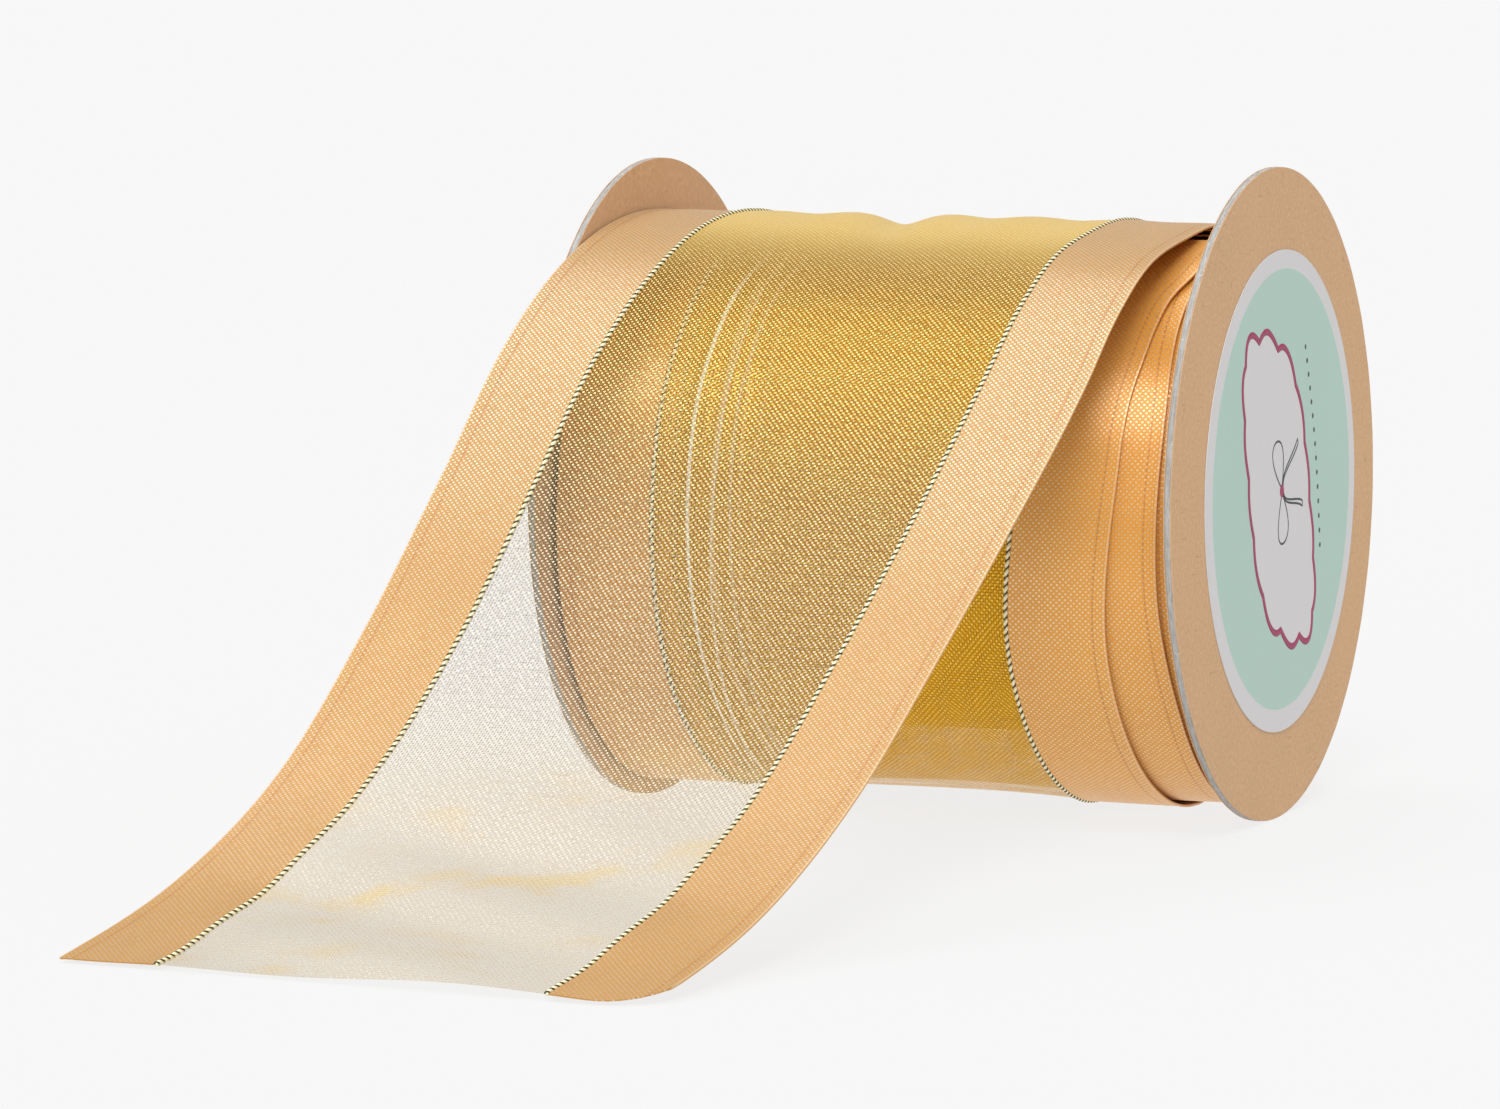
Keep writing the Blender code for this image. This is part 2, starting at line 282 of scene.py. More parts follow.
class Ribbon:
    """A stretch of ribbon: a ruled surface between two edge curves, with folds along its normal."""

    def __init__(self, left, right, start_length, folds):
        self.left, self.left_length = spline_through(left)
        self.right, self.right_length = spline_through(right)
        self.length = (self.left_length + self.right_length) / 2
        self.start_length = start_length
        self.folds = folds

    def edges(self, share):
        return self.left(share * self.left_length), self.right(share * self.right_length)

    def frame_at(self, share):
        """Edge points, unit across, unit normal and width at each share of the length."""
        step = 0.002
        left, right = self.edges(share)
        left_low, right_low = self.edges(np.clip(share - step, 0, 1))
        left_high, right_high = self.edges(np.clip(share + step, 0, 1))
        along = (left_high - left_low) + (right_high - right_low)
        across = right - left
        width = np.linalg.norm(across, axis=1)
        across = across / width[:, None]
        normal = np.cross(along, across)
        normal /= np.linalg.norm(normal, axis=1)[:, None]
        return left, across, normal, width

    def points(self, share, from_left=None, from_right=None):
        """Points, normals, places across and lengths along.

        from_left or from_right lists places across, counted from that edge. Given both, as one
        number each, the places run evenly between the two.
        """
        left, across, normal, width = self.frame_at(share)
        if from_right is None:
            across_mm = np.broadcast_to(from_left, (len(share), len(from_left)))
        elif from_left is None:
            across_mm = width[:, None] - np.asarray(from_right)[None, :]
        else:
            high = width[:, None] - from_right
            steps = np.linspace(0, 1, ORGANZA_STEPS + 1)[None, :]
            across_mm = from_left + (high - from_left) * steps
        spots = left[:, None, :] + across[:, None, :] * across_mm[:, :, None]
        normals = np.broadcast_to(normal[:, None, :], spots.shape)
        length = self.start_length + share * self.length
        rise = self.folds(length[:, None], across_mm, width[:, None])
        return spots + normals * rise[:, :, None], normals, across_mm, length


# ---------------------------------------------------------------- meshes


def link(name, mesh, material):
    obj = bpy.data.objects.new(name, mesh)
    bpy.context.scene.collection.objects.link(obj)
    materials = material if isinstance(material, (list, tuple)) else [material]
    for item in materials:
        mesh.materials.append(item)
    return obj


def mesh_of(name, points, faces, uv=None):
    mesh = bpy.data.meshes.new(name)
    mesh.from_pydata(place(points).tolist(), [], faces)
    if uv is not None:
        layer = mesh.uv_layers.new(name="cloth")
        corners = np.zeros(len(mesh.loops), np.int32)
        mesh.loops.foreach_get("vertex_index", corners)
        layer.data.foreach_set("uv", np.asarray(uv, np.float32)[corners].ravel())
    mesh.shade_smooth()
    mesh.validate()
    return mesh


def grid_faces(rows, columns, offset=0, flip=False):
    index = np.arange(rows * columns).reshape(rows, columns) + offset
    quads = np.stack(
        [index[:-1, :-1], index[:-1, 1:], index[1:, 1:], index[1:, :-1]], -1
    ).reshape(-1, 4)
    return (quads[:, ::-1] if flip else quads).tolist()


def ring_faces(rings, count):
    """Faces between rings of points, from each ring to the next and from the last to the first."""
    index = np.arange(rings * count).reshape(rings, count)
    following = np.roll(index, -1, axis=0)
    corners = [index, following, np.roll(following, -1, axis=1), np.roll(index, -1, axis=1)]
    return np.stack(corners, -1).reshape(-1, 4).tolist()


def rim_of(rows, columns):
    index = np.arange(rows * columns).reshape(rows, columns)
    return np.concatenate([index[0, :], index[1:, -1], index[-1, -2::-1], index[-2:0:-1, 0]])


def slab(name, mid, normals, half, uv, material):
    """A thin closed body: the mid surface moved half its thickness to each side."""
    rows, columns = mid.shape[:2]
    half = np.asarray(half)[..., None]
    top = (mid + normals * half).reshape(-1, 3)
    bottom = (mid - normals * half).reshape(-1, 3)
    faces = grid_faces(rows, columns, 0, True) + grid_faces(rows, columns, len(top))
    rim = rim_of(rows, columns)
    following = np.roll(rim, -1)
    faces += np.stack([rim, following, following + len(top), rim + len(top)], 1).tolist()
    uv = np.tile(np.asarray(uv).reshape(-1, 2), (2, 1))
    mesh = mesh_of(name, np.vstack([top, bottom]), faces, uv)
    mesh.set_sharp_from_angle(angle=math.radians(50))
    return link(name, mesh, material)


def sheet_mesh(name, points, uv, material):
    rows, columns = points.shape[:2]
    faces = grid_faces(rows, columns, 0, True)
    mesh = mesh_of(name, points.reshape(-1, 3), faces, np.asarray(uv).reshape(-1, 2))
    return link(name, mesh, material)


def lathe(name, outline, segments, material, wobble=None):
    """A closed body turned about the axle from a closed outline of (x, radius) points."""
    outline = np.array(outline, float)
    angle = np.arange(segments) * math.tau / segments
    x = np.broadcast_to(outline[:, 0], (segments, len(outline))).copy()
    radius = np.broadcast_to(outline[:, 1], (segments, len(outline))).copy()
    if wobble is not None:
        dx, dr = wobble(angle[:, None], x, radius)
        x = x + dx
        radius = radius + dr
    angle = angle[:, None]
    points = np.stack([x, radius * np.sin(angle), radius * np.cos(angle)], -1)
    mesh = mesh_of(name, points.reshape(-1, 3), ring_faces(segments, len(outline)))
    face_out(mesh)
    mesh.set_sharp_from_angle(angle=math.radians(40))
    return link(name, mesh, material)


def face_out(mesh):
    """Turns a closed mesh's faces outwards, if its volume comes out negative."""
    bm = bmesh.new()
    bm.from_mesh(mesh)
    if bm.calc_volume(signed=True) < 0:
        bmesh.ops.reverse_faces(bm, faces=bm.faces)
    bm.to_mesh(mesh)
    bm.free()


def twisted_cord(name, centre, normals, length, sides):
    """Two strands wound about a line, each a tube of its own with rounded ends."""
    tangents = np.gradient(centre, axis=0)
    tangents /= np.linalg.norm(tangents, axis=1)[:, None]
    side = np.cross(tangents, normals)
    side /= np.linalg.norm(side, axis=1)[:, None]
    up = np.cross(side, tangents)
    points, faces, owner = [], [], []
    ring = np.arange(sides) * math.tau / sides
    for strand, thickness in enumerate(STRAND_SHARES):
        strand_radius = CORD_RADIUS * thickness
        offset = CORD_RADIUS - strand_radius
        turn = math.tau * length / CORD_TWIST_PITCH + strand * math.pi
        path = centre + offset * (np.cos(turn)[:, None] * up + np.sin(turn)[:, None] * side)
        ring_up = np.cos(ring)[None, :, None] * up[:, None, :]
        ring_side = np.sin(ring)[None, :, None] * side[:, None, :]
        scale = np.full(len(centre), strand_radius)
        scale[[0, -1]] *= 0.5
        body = path[:, None, :] + (ring_up + ring_side) * scale[:, None, None]
        start = sum(len(p) for p in points)
        index = np.arange(len(centre) * sides).reshape(-1, sides) + start
        after = np.roll(index, -1, axis=1)
        quads = np.stack([index[:-1], after[:-1], after[1:], index[1:]], -1)
        faces += quads.reshape(-1, 4).tolist()
        faces += [index[0, ::-1].tolist(), index[-1].tolist()]
        owner += [strand] * (quads.shape[0] * sides + 2)
        points.append(body.reshape(-1, 3))
    mesh = mesh_of(name, np.vstack(points), faces)
    face_out(mesh)
    obj = link(name, mesh, [GOLD, OLIVE])
    mesh.polygons.foreach_set("material_index", np.array(owner, np.int32))
    return obj


# ---------------------------------------------------------------- materials


class Shader:
    """Short calls for building one material's nodes."""

    def __init__(self, name):
        self.material = bpy.data.materials.new(name)
        self.material.use_nodes = True
        self.tree = self.material.node_tree
        self.principled = self.tree.nodes["Principled BSDF"]

    def node(self, kind, **settings):
        made = self.tree.nodes.new(kind)
        for key, value in settings.items():
            setattr(made, key, value)
        return made

    def put(self, socket, value):
        if isinstance(value, bpy.types.NodeSocket):
            self.tree.links.new(value, socket)
        elif value is not None:
            socket.default_value = value

    def math(self, operation, a, b=None, c=None, clamp=False):
        made = self.node("ShaderNodeMath", operation=operation, use_clamp=clamp)
        for socket, value in zip(made.inputs, (a, b, c)):
            self.put(socket, value)
        return made.outputs[0]

    def times(self, a, b, clamp=False):
        return self.math("MULTIPLY", a, b, clamp=clamp)

    def flip(self, value):
        """1 where the value is 0, and 0 where it is 1."""
        return self.math("SUBTRACT", 1.0, value)

    def apart(self, a, b):
        """How far apart two values are."""
        return self.math("ABSOLUTE", self.math("SUBTRACT", a, b))

    def mix(self, factor, a, b, strength=None):
        """From colour a at 0 to b at 1, or only a share of the way to b."""
        if strength is not None:
            factor = self.times(factor, strength)
        made = self.node("ShaderNodeMix", data_type="RGBA")
        self.put(made.inputs["Factor"], factor)
        colours = [s for s in made.inputs if s.type == "RGBA"]
        for socket, value in zip(colours, (a, b)):
            is_socket = isinstance(value, bpy.types.NodeSocket)
            self.put(socket, value if is_socket else (*value, 1.0))
        return next(s for s in made.outputs if s.type == "RGBA")

    def ramp(self, value, low, high):
        """0 at low and 1 at high, smoothly."""
        made = self.node("ShaderNodeMapRange", interpolation_type="SMOOTHSTEP")
        self.put(made.inputs["Value"], value)
        self.put(made.inputs["From Min"], low)
        self.put(made.inputs["From Max"], high)
        return made.outputs["Result"]

    def noise(self, vector, scale, detail=2.0, roughness=0.5):
        made = self.node("ShaderNodeTexNoise")
        self.put(made.inputs["Vector"], vector)
        self.put(made.inputs["Scale"], scale)
        self.put(made.inputs["Detail"], detail)
        self.put(made.inputs["Roughness"], roughness)
        return made.outputs["Fac"]

    def scaled(self, vector, scale):
        made = self.node("ShaderNodeMapping")
        self.put(made.inputs["Vector"], vector)
        self.put(made.inputs["Scale"], scale)
        return made.outputs["Vector"]

    def cloth_places(self):
        """The cloth's own coordinates in millimetres: across, along, and both as a vector."""
        uv = self.node("ShaderNodeUVMap", uv_map="cloth").outputs["UV"]
        split = self.node("ShaderNodeSeparateXYZ")
        self.put(split.inputs[0], uv)
        return split.outputs["X"], split.outputs["Y"], uv

    def object_places(self):
        return self.node("ShaderNodeTexCoord").outputs["Object"]

    def axle_places(self):
        """Places about the axle as a vector, the place along it, and turns about it in radians."""
        centred = self.node("ShaderNodeVectorMath", operation="SUBTRACT")
        self.put(centred.inputs[0], self.object_places())
        centred.inputs[1].default_value = tuple(AXLE)
        split = self.node("ShaderNodeSeparateXYZ")
        self.put(split.inputs[0], centred.outputs[0])
        turn = self.math("ARCTAN2", split.outputs["Y"], split.outputs["Z"])
        return centred.outputs[0], split.outputs["X"], turn

    def bump(self, height, strength, distance):
        made = self.node("ShaderNodeBump")
        self.put(made.inputs["Strength"], strength)
        self.put(made.inputs["Distance"], distance)
        self.put(made.inputs["Height"], height)
        self.put(self.principled.inputs["Normal"], made.outputs["Normal"])

    def finish(self, **inputs):
        for key, value in inputs.items():
            socket = self.principled.inputs[key.replace("_", " ")]
            if socket.type == "RGBA" and isinstance(value, tuple):
                value = (*value, 1.0)
            self.put(socket, value)
        return self.material

    def weave(self, across, along, pitch_across, pitch_along):
        """A plain weave: masks of the crossing and the running thread, and the cloth's height."""
        cell_x = self.math("DIVIDE", across, pitch_across)
        cell_y = self.math("DIVIDE", along, pitch_along)
        cells = self.math("ADD", self.math("FLOOR", cell_x), self.math("FLOOR", cell_y))
        parity = self.math("FLOORED_MODULO", cells, 2.0)
        rest = self.flip(parity)
        round_x = self.hump(cell_x)
        round_y = self.hump(cell_y)
        wide = self.times(self.ramp(round_x, 0.1, 0.7), self.ramp(round_y, 0.2, 0.8))
        tall = self.times(self.ramp(round_x, 0.2, 0.8), self.ramp(round_y, 0.0, 0.5))
        crossing = self.times(wide, parity)
        running = self.times(tall, rest)
        height = self.math("ADD", crossing, self.times(running, 0.6))
        return crossing, running, height

    def pleats(self, across, along):
        """Where the lengthwise pleats of a crowded wrap stand up, broken along their length."""
        total = 0.0
        for place_across, height, half_width in PLEATS:
            slide = self.math("SINE", self.math("MULTIPLY_ADD", along, 0.05, place_across))
            offset = self.math("MULTIPLY_ADD", slide, -0.7, across)
            offset = self.math("SUBTRACT", offset, place_across - ORGANZA_START)
            offset = self.math("ABSOLUTE", self.math("DIVIDE", offset, half_width * 0.55))
            bell = self.flip(self.ramp(offset, 0.2, 1.0))
            total = self.math("MULTIPLY_ADD", bell, height, total)
        dashes = self.math("MULTIPLY_ADD", self.hump(self.math("DIVIDE", along, 1.1)), 0.5, 0.5)
        return self.times(total, dashes, clamp=True)

    def across_threads(self):
        """The direction across the cloth, so that highlights spread along its width."""
        made = self.node("ShaderNodeTangent", direction_type="UV_MAP", uv_map="cloth")
        return made.outputs["Tangent"]

    def hump(self, cell):
        """0 at a cell's borders and 1 at its middle."""
        t = self.math("FRACT", cell)
        return self.times(self.times(t, self.flip(t)), 4.0)


def satin_material(name, ground_low, ground_high, running_colour, float_sheen_colour, lustre, gloss=0.35):
    """Peach satin: pale crossing threads on a deeper ground, their pale colour a painted sheen,
    stitched just inside its edge.
    """
    shader = Shader(name)
    across, along, uv = shader.cloth_places()
    crossing, running, height = shader.weave(across, along, THREAD_PITCH, THREAD_PITCH)
    slow = shader.noise(shader.scaled(uv, (0.12, 0.05, 1.0)), 1.0, 3.0)
    fine = shader.noise(shader.scaled(uv, (1.6, 0.7, 1.0)), 1.0, 2.0)
    ground = shader.mix(slow, ground_low, ground_high)
    colour = shader.mix(running, ground, running_colour, 0.35)
    # The floats are the weave's own; their pale colour is a painted sheen.
    floats_and_sheen = shader.times(crossing, shader.ramp(fine, 0.05, 0.65))
    # Painted shade: towards the cut end the floats' painted sheen and metal fade out.
    painted_sheen_falloff = shader.ramp(along, CLOTH_TOP + 80.0, CLOTH_TOP + 120.0)
    floats_and_sheen = shader.times(floats_and_sheen, shader.math("MULTIPLY_ADD", painted_sheen_falloff, -0.45, 1.0))
    colour = shader.mix(floats_and_sheen, colour, float_sheen_colour)
    # A line of dashed stitches runs just inside the selvedge, and the selvedge itself is paler.
    from_line = shader.apart(across, STITCH_INSET)
    dash = shader.math("GREATER_THAN", shader.hump(shader.math("DIVIDE", along, 1.0)), 0.5)
    line = shader.flip(shader.ramp(from_line, 0.08, 0.2))
    colour = shader.mix(shader.times(line, dash), colour, (0.45, 0.16, 0.045), 0.6)
    edge = shader.flip(shader.ramp(across, 0.1, 0.45))
    colour = shader.mix(edge, colour, (0.85, 0.60, 0.36), 0.4)
    shader.bump(shader.math("SUBTRACT", height, line), 0.12, 0.00008)
    return shader.finish(
        Base_Color=colour,
        Metallic=shader.math("MULTIPLY_ADD", floats_and_sheen, 0.85 - lustre, lustre),
        Roughness=0.42,
        Anisotropic=1.0,
        Tangent=shader.across_threads(),
        Specular_IOR_Level=gloss,
    )


def organza_material(name, thread, float_cover, ground_low, ground_high, bright, pleated):
    """Sheer gold cloth: light passes between its threads, and partly through each of them.

    thread and float_cover are how much the running and the crossing threads hide. Where the cloth
    is pleated it lies double, so it is denser there, and its crests are painted near white: a painted
    highlight.
    """
    shader = Shader(name)
    across, along, uv = shader.cloth_places()
    crossing, running, height = shader.weave(across, along, THREAD_PITCH, SHEER_PITCH_ALONG)
    sparkle = shader.noise(shader.scaled(uv, (2.1, 1.1, 1.0)), 1.0, 2.0)
    slow = shader.noise(shader.scaled(uv, (0.06, 0.035, 1.0)), 1.0, 3.0)
    ground = shader.mix(slow, ground_low, ground_high)
    glint = shader.times(crossing, shader.ramp(sparkle, 0.2, 0.65))
    # Over the top of the roll the cloth is dense, and painted paler: painted light from above. On its
    # way
    # down it is painted darker: painted shade. Towards its cut end it is crumpled: paler, with soft
    # gold ridges across it.
    from_crown = shader.apart(along, CLOTH_TOP - 8.0)
    crown = shader.flip(shader.ramp(from_crown, 24.0, 56.0))
    painted_crown_light = shader.flip(shader.ramp(from_crown, 14.0, 60.0))
    ground = shader.mix(painted_crown_light, ground, (0.72, 0.50, 0.15), 0.75)
    frost = shader.ramp(along, CLOTH_TOP + 120.0, CLOTH_TOP + 190.0)
    shaded = shader.ramp(along, CLOTH_TOP + 50.0, CLOTH_TOP + 95.0)
    shaded = shader.times(shaded, shader.math("MULTIPLY_ADD", frost, -0.85, 1.0))
    ground = shader.mix(shaded, ground, (0.15, 0.115, 0.065), 0.9)
    ground = shader.mix(frost, ground, (0.46, 0.375, 0.235), 0.8)
    # Painted shade: on the way down the glints are painted greyer.
    shaded_glints = shader.ramp(along, CLOTH_TOP + 55.0, CLOTH_TOP + 125.0)
    bright = shader.mix(shaded_glints, bright, (0.62, 0.57, 0.46))
    colour = shader.mix(glint, ground, bright)
    wander = shader.noise(shader.scaled(uv, (0.05, 0.02, 1.0)), 1.0, 3.0)
    bent = shader.math("MULTIPLY_ADD", across, 0.3, shader.times(wander, -34.0))
    broken = shader.noise(shader.scaled(uv, (0.07, 0.12, 1.0)), 1.0, 2.0)
    crease = 0.0
    for place_along, half_width, weight in RIDGES:
        offset = shader.math("SUBTRACT", shader.math("ADD", along, bent), CLOTH_TOP + place_along)
        offset = shader.math("ABSOLUTE", shader.math("DIVIDE", offset, half_width))
        bell = shader.flip(shader.ramp(offset, 0.1, 1.0))
        crease = shader.math("MULTIPLY_ADD", bell, weight, crease)
    crease = shader.times(crease, shader.ramp(broken, 0.4, 0.68))
    crease = shader.times(crease, frost, clamp=True)
    dense = shader.math("MAXIMUM", crown, shader.times(frost, 0.22))
    colour = shader.mix(crease, colour, (0.60, 0.43, 0.13), 0.7)
    cover = shader.math("ADD", shader.times(running, thread), shader.times(crossing, float_cover))
    cover = shader.math("ADD", cover, shader.times(crease, 0.25))
    if pleated:
        doubled_and_glinting = shader.pleats(across, along)
        # Painted highlight: the pleat crests are painted near white.
        colour = shader.mix(doubled_and_glinting, colour, (1.0, 0.97, 0.78))
        dense = shader.math("MAXIMUM", dense, doubled_and_glinting)
    cover = shader.math("MULTIPLY_ADD", dense, shader.flip(cover), cover)
    shader.bump(height, 0.15, 0.00008)
    return shader.finish(
        Base_Color=colour,
        Roughness=0.4,
        Anisotropic=0.5,
        Tangent=shader.across_threads(),
        Specular_IOR_Level=0.08,
        Metallic=shader.math("MULTIPLY_ADD", glint, 0.5, 0.08),
        Alpha=shader.math("MULTIPLY_ADD", cover, 0.96, 0.04, clamp=True),
    )


def gold_strand(name, colour, roughness):
    shader = Shader(name)
    wear = shader.noise(shader.object_places(), 900.0, 2.0)
    dark = tuple(channel * 0.8 for channel in colour)
    mixed = shader.mix(wear, dark, colour)
    return shader.finish(Base_Color=mixed, Metallic=0.2, Roughness=roughness)


def kraft_material():
    shader = Shader("kraft_paper_look")
    place_in = shader.object_places()
    cloud = shader.noise(place_in, 55.0, 4.0)
    grain = shader.noise(place_in, 1500.0, 3.0, 0.65)
    fibre = shader.noise(shader.scaled(place_in, (1.0, 0.35, 2.4)), 900.0, 3.0, 0.6)
    speck = shader.noise(shader.scaled(place_in, (1.0, 1.0, 0.5)), 520.0, 2.0, 0.4)
    colour = shader.mix(cloud, (0.565, 0.345, 0.185), (0.645, 0.40, 0.225))
    colour = shader.mix(shader.ramp(grain, 0.35, 0.8), colour, (0.70, 0.45, 0.26))
    colour = shader.mix(shader.ramp(fibre, 0.62, 0.75), colour, (0.41, 0.23, 0.11), 0.5)
    colour = shader.mix(shader.ramp(speck, 0.7, 0.78), colour, (0.29, 0.165, 0.08), 0.3)
    shader.bump(shader.math("ADD", grain, fibre), 0.25, 0.00008)
    return shader.finish(Base_Color=colour, Roughness=0.82, Specular_IOR_Level=0.28)


def board_material(name, light, dark):
    shader = Shader(name)
    place_in = shader.object_places()
    layers = shader.noise(shader.scaled(place_in, (7.0, 0.6, 0.6)), 700.0, 3.0, 0.7)
    flecks = shader.noise(place_in, 1300.0, 2.0, 0.7)
    colour = shader.mix(shader.ramp(layers, 0.3, 0.7), dark, light)
    colour = shader.mix(shader.ramp(flecks, 0.6, 0.75), colour, (0.72, 0.70, 0.66), 0.6)
    shader.bump(shader.math("ADD", layers, flecks), 0.6, 0.0001)
    return shader.finish(Base_Color=colour, Roughness=0.92, Specular_IOR_Level=0.2)


def core_material():
    """Spiral-wound board: each ply's seam runs round the tube in a helix."""
    shader = Shader("core_board_look")
    _, along, turn = shader.axle_places()
    turns = shader.math("DIVIDE", turn, math.tau)
    spiral = shader.math("MULTIPLY_ADD", along, 1 / (SPIRAL_PITCH * MM), turns)
    seam = shader.flip(shader.ramp(shader.hump(spiral), 0.01, 0.05))
    cloud = shader.noise(shader.object_places(), 220.0, 4.0, 0.6)
    colour = shader.mix(cloud, (0.38, 0.31, 0.23), (0.52, 0.45, 0.35))
    colour = shader.mix(seam, colour, (0.2, 0.16, 0.12), 0.7)
    shader.bump(shader.math("SUBTRACT", cloud, seam), 0.4, 0.0002)
    return shader.finish(Base_Color=colour, Roughness=0.88, Specular_IOR_Level=0.25)


def paper_material(name, colour, variation=0.06):
    shader = Shader(name)
    place_in = shader.object_places()
    grain = shader.noise(place_in, 1200.0, 3.0, 0.6)
    cloud = shader.noise(place_in, 90.0, 3.0)
    low = tuple(channel * (1 - variation) for channel in colour)
    blend = shader.math("MULTIPLY_ADD", grain, 0.5, shader.times(cloud, 0.5))
    mixed = shader.mix(blend, low, colour)
    shader.bump(grain, 0.12, 0.00005)
    return shader.finish(Base_Color=mixed, Roughness=0.55, Specular_IOR_Level=0.4)


def plain_material(name, colour, roughness):
    shader = Shader(name)
    cloud = shader.noise(shader.object_places(), 400.0, 3.0)
    low = tuple(channel * 0.85 for channel in colour)
    shader.bump(cloud, 0.3, 0.0002)
    return shader.finish(Base_Color=shader.mix(cloud, low, colour), Roughness=roughness)


def stack_material(name, base_low, base_high, bright):
    """The roll's surface, in the ribbon's colour; its weave follows the axle and the turn."""
    shader = Shader(name)
    places, axial, turn = shader.axle_places()
    along = shader.math("MULTIPLY_ADD", turn, ROLL_RADIUS, 200.0)
    across = shader.math("MULTIPLY_ADD", axial, 1 / MM, 100.0)
    crossing, _, height = shader.weave(across, along, THREAD_PITCH, THREAD_PITCH)
    slow = shader.noise(places, 60.0, 3.0)
    base = shader.mix(slow, base_low, base_high)
    shader.bump(height, 0.4, 0.00008)
    # The weave is the cloth's own; its crossings painted bright are painted glints.
    return shader.finish(
        Base_Color=shader.mix(crossing, base, bright, 0.8),
        Metallic=shader.times(crossing, 0.4),
        Roughness=0.36,
        Specular_IOR_Level=0.3,
    )


SATIN = satin_material(
    "satin_end_look",
    (0.46, 0.215, 0.045),
    (0.54, 0.27, 0.065),
    (0.64, 0.40, 0.15),
    (0.84, 0.84, 0.70),
    0.04,
)
# The wraps' copy of the same satin, painted brighter and more orange: painted light bounced between the
# gold layers.
BOUNCE_LIT_WRAP_SATIN = satin_material(
    "satin_wrap_bounce_lit_look",
    (0.68, 0.265, 0.010),
    (0.80, 0.335, 0.018),
    (0.86, 0.43, 0.07),
    (0.94, 0.76, 0.48),
    0.14,
    gloss=0.95,
)
ORGANZA = organza_material(
    "organza_end_look",
    0.5,
    0.95,
    (0.36, 0.18, 0.008),
    (0.46, 0.245, 0.018),
    (0.88, 0.72, 0.32),
    False,
)
WRAP_ORGANZA = organza_material(
    "organza_wrap_look",
    0.8,
    0.97,
    (0.70, 0.31, 0.0),
    (0.84, 0.40, 0.004),
    (1.0, 0.72, 0.10),
    True,
)
GOLD = gold_strand("gold_thread_look", (1.0, 0.92, 0.60), 0.32)
OLIVE = gold_strand("olive_thread_look", (0.07, 0.05, 0.01), 0.42)
KRAFT = kraft_material()
CHIPBOARD = board_material("chipboard_look", (0.47, 0.46, 0.44), (0.30, 0.29, 0.275))
CORE = core_material()
LABEL_WHITE = paper_material("label_white_look", (0.67, 0.655, 0.655))
LABEL_MINT = paper_material("label_mint_look", (0.445, 0.615, 0.545))
LABEL_MAGENTA = paper_material("label_magenta_look", (0.38, 0.04, 0.125), 0.2)
LABEL_INK = paper_material("label_ink_look", (0.05, 0.055, 0.06), 0.2)
GLUE = plain_material("glue_look", (0.78, 0.68, 0.45), 0.4)
TAPE = plain_material("tape_look", (0.85, 0.82, 0.72), 0.2)
SATIN_STACK = stack_material(
    "satin_stack_look", (0.56, 0.25, 0.085), (0.68, 0.34, 0.12), (1.0, 0.78, 0.48)
)
ORGANZA_STACK = stack_material(
    "organza_stack_look", (0.60, 0.29, 0.02), (0.74, 0.40, 0.04), (1.0, 0.82, 0.36)
)


# ---------------------------------------------------------------- ribbon


def organza_sag(across, width):
    """The sheer centre is thinner than the borders, so it lies a little lower than they do."""
    share = np.clip((across - CORD_CENTRE) / (width - 2 * CORD_CENTRE), 0, 1)
    return -0.95 * np.sin(math.pi * share) ** 0.7


def free_end_folds(length, across, width):
    """Rises along the normal of the outermost ribbon; length is 0 at the top of the roll."""
    share = np.clip(across / width, 0, 1)
    middle = np.sin(math.pi * share)
    on_roll = 1 - ease(8.0, 45.0, length)
    crown = ease(-40.0, -12.0, length) * (1 - ease(8.0, 40.0, length))
    rise = organza_sag(across, width) * (0.25 + 0.75 * on_roll) * (1 - 0.9 * crown)
    dip = np.exp(-(((share - 0.44 - length * 0.003) / 0.05) ** 2))
    rise = rise + crown * (0.4 * middle - 1.3 * dip + 0.25 * middle * np.sin(share * 40.0))
    end = ease(135.0, 205.0, length)
    ridge = np.sin((length - 0.32 * across) * math.tau / 24.0 + 0.8)
    rise = rise + end * middle**1.5 * (0.75 + 0.75 * ridge)
    soft = np.sin(length * 0.085 + share * 4.0) * 0.35
    rise = rise + soft * middle * ease(25.0, 80.0, length)
    border = np.exp(-((across / 6.0) ** 2)) + np.exp(-(((width - across) / 6.0) ** 2))
    return rise + border * 0.35 * np.sin(length * 0.055 + 1.0) * ease(20.0, 70.0, length)


def wrap_folds(length, across, width):
    """The loose wraps: a sagging centre, and sharp lengthwise pleats where it is crowded."""
    share = np.clip(across / width, 0, 1)
    crowded = np.clip((RIBBON_WIDTH - width) / 4.0, 0, 1)
    rise = organza_sag(across, width)
    for place_across, height, half_width in PLEATS:
        wander = 0.7 * np.sin(length * 0.05 + place_across)
        bell = np.exp(-(((across - place_across - wander) / half_width) ** 2))
        rise = rise + crowded * height * bell
    slow = 0.15 * np.sin(length * 0.06 + share * 9.0) * np.sin(math.pi * share)
    return rise + slow


def selvedge_half(across):
    """Half the satin's thickness: a rolled edge, a dip at the stitches, and flat after that."""
    roll = 0.09 * np.exp(-(((across - 0.25) / 0.22) ** 2))
    dip = 0.045 * np.exp(-(((across - STITCH_INSET) / 0.16) ** 2))
    return SATIN_HALF_THICKNESS + roll - dip


def satin_stations():
    """Places across a satin border, closer together at the selvedge and the stitches."""
    near_edge = np.linspace(0.0, 0.6, 5)
    near_stitch = STITCH_INSET + np.array([-0.6, -0.2, 0.0, 0.2, 0.6])
    rest = np.linspace(STITCH_INSET + 1.4, SATIN_WIDTH, 9)
    return np.concatenate([near_edge, near_stitch, rest])


